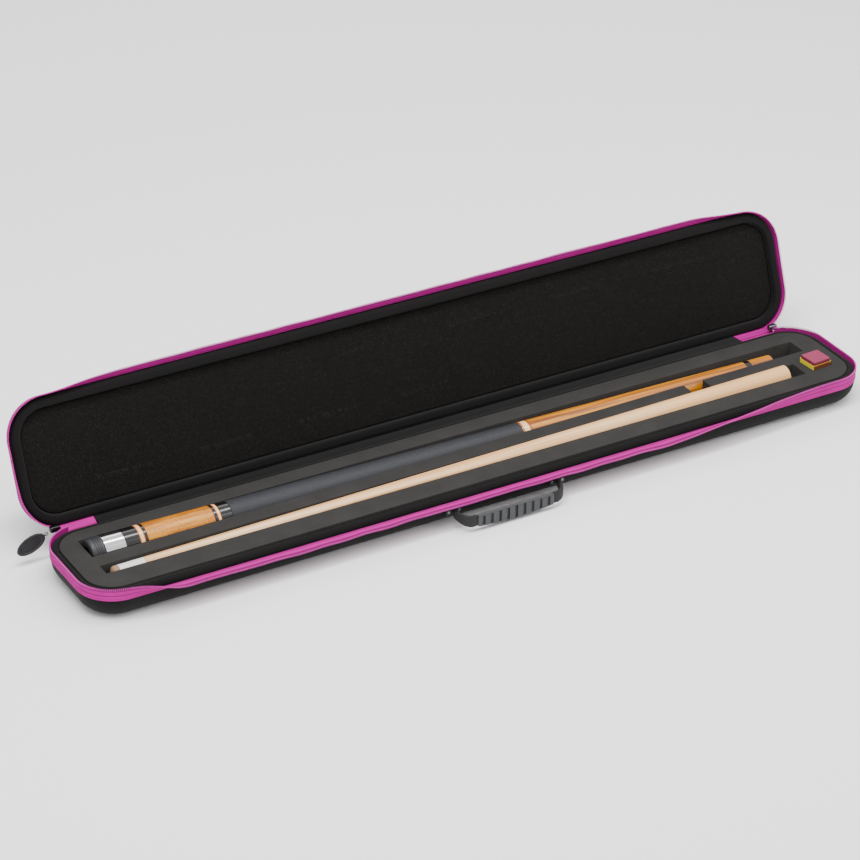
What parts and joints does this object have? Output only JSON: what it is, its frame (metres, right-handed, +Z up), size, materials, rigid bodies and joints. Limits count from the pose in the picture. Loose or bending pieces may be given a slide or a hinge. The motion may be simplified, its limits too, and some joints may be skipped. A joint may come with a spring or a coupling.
{
  "type": "cue case",
  "caption": "Slim soft-shell cue case with a zip-edged hinged lid and a foam tray holding a two-piece cue and chalk.",
  "frame": {"origin": "centre of the tray's flat base", "axes": "+X along the case towards the cue's joint end, -Y towards the carry handle, +Z up"},
  "size_m": [0.8606, 0.2174, 0.1456],
  "materials": {
    "shell_cloth": "matte",
    "lining_cloth": "matte",
    "foam": "matte",
    "pad_cloth": "matte",
    "zip_tape": "matte",
    "zip_coil": "satin",
    "slider_metal": "satin",
    "puller_rubber": "matte",
    "handle_rubber": "matte",
    "strap_rubber": "satin",
    "bumper_rubber": "matte",
    "polished_metal": "polished",
    "gloss_black": "gloss",
    "cream": "gloss",
    "striped_wood": "gloss",
    "wrap_cloth": "matte",
    "amber_wood": "gloss",
    "brass": "satin",
    "leather": "matte",
    "white_plastic": "gloss",
    "pale_maple": "satin",
    "chalk_pink": "matte",
    "label_paper": "matte"
  },
  "bodies": {
    "tray": {"tray_shell": "shell_cloth", "tray_foam": "foam", "tray_lining": "lining_cloth", "tray_zip_tape": "zip_tape", "tray_zip_coil": "zip_coil", "hinge_strip": "shell_cloth", "zip_chain_left": "zip_tape", "zip_chain_right": "zip_tape", "handle_anchor_left": "strap_rubber", "handle_anchor_right": "strap_rubber", "handle_rivet_1": "slider_metal", "handle_rivet_2": "slider_metal", "handle_rivet_3": "slider_metal", "handle_rivet_4": "slider_metal"},
    "lid": {"lid_shell": "shell_cloth", "lid_pad": "pad_cloth", "lid_lining": "lining_cloth", "lid_zip_tape": "zip_tape", "lid_zip_coil": "zip_coil"},
    "handle": {"handle_grip": "handle_rubber", "handle_end_left": "strap_rubber", "handle_end_right": "strap_rubber"},
    "left_slider": {"slider_left": "slider_metal"},
    "right_slider": {"slider_right": "slider_metal"},
    "left_pull": {"puller_left": "puller_rubber", "puller_left_link": "slider_metal"},
    "right_pull": {"puller_right": "puller_rubber", "puller_right_link": "slider_metal"},
    "butt": {"bumper": "bumper_rubber", "butt_cap": "polished_metal", "cap_collar": "gloss_black", "sleeve_rear_ring": "cream", "sleeve_rear_trim": "gloss_black", "butt_sleeve": "striped_wood", "sleeve_front_trim": "gloss_black", "sleeve_front_ring": "cream", "wrap_collar": "gloss_black", "grip_wrap": "wrap_cloth", "forearm_ring": "cream", "forearm": "amber_wood", "joint_collar": "gloss_black", "joint_end": "amber_wood", "joint_pin": "brass"},
    "shaft": {"cue_tip": "leather", "ferrule": "white_plastic", "shaft_wood": "pale_maple", "shaft_insert": "brass"},
    "chalk": {"chalk_cube": "chalk_pink", "chalk_label": "label_paper"}
  },
  "joints": [
    {"name": "lid_hinge", "type": "hinge", "parent": "tray", "child": "lid", "pos_m": [0, 0.0647, 0.024], "axis": [-1, 0, 0], "range_deg": [-110, 0], "deforming": ["hinge_strip", "zip_chain_left", "zip_chain_right"]},
    {"name": "handle_swing", "type": "hinge", "parent": "tray", "child": "handle", "pos_m": [0, -0.0655, 0.0155], "axis": [-1, 0, 0], "range_deg": [0, 15]},
    {"name": "left_slider_run", "type": "slide", "parent": "tray", "child": "left_slider", "axis": [1, 0, 0], "range_m": [0, 0.032], "deforming": ["zip_chain_left"]},
    {"name": "right_slider_run", "type": "slide", "parent": "tray", "child": "right_slider", "axis": [-1, 0, 0], "range_m": [0, 0.032], "deforming": ["zip_chain_right"]},
    {"name": "left_pull_swing", "type": "hinge", "parent": "left_slider", "child": "left_pull", "pos_m": [-0.405, 0.0692, 0.027], "axis": [0, 1, 0], "range_deg": [0, 45]},
    {"name": "right_pull_swing", "type": "hinge", "parent": "right_slider", "child": "right_pull", "pos_m": [0.398, 0.0692, 0.027], "axis": [0, -1, 0], "range_deg": [0, 60]},
    {"name": "butt_lift", "type": "slide", "parent": "tray", "child": "butt", "axis": [0, 0, 1], "range_m": [0, 0.12]},
    {"name": "shaft_lift", "type": "slide", "parent": "tray", "child": "shaft", "axis": [0, 0, 1], "range_m": [0, 0.12]},
    {"name": "chalk_lift", "type": "slide", "parent": "tray", "child": "chalk", "axis": [0, 0, 1], "range_m": [0, 0.12]}
  ]
}
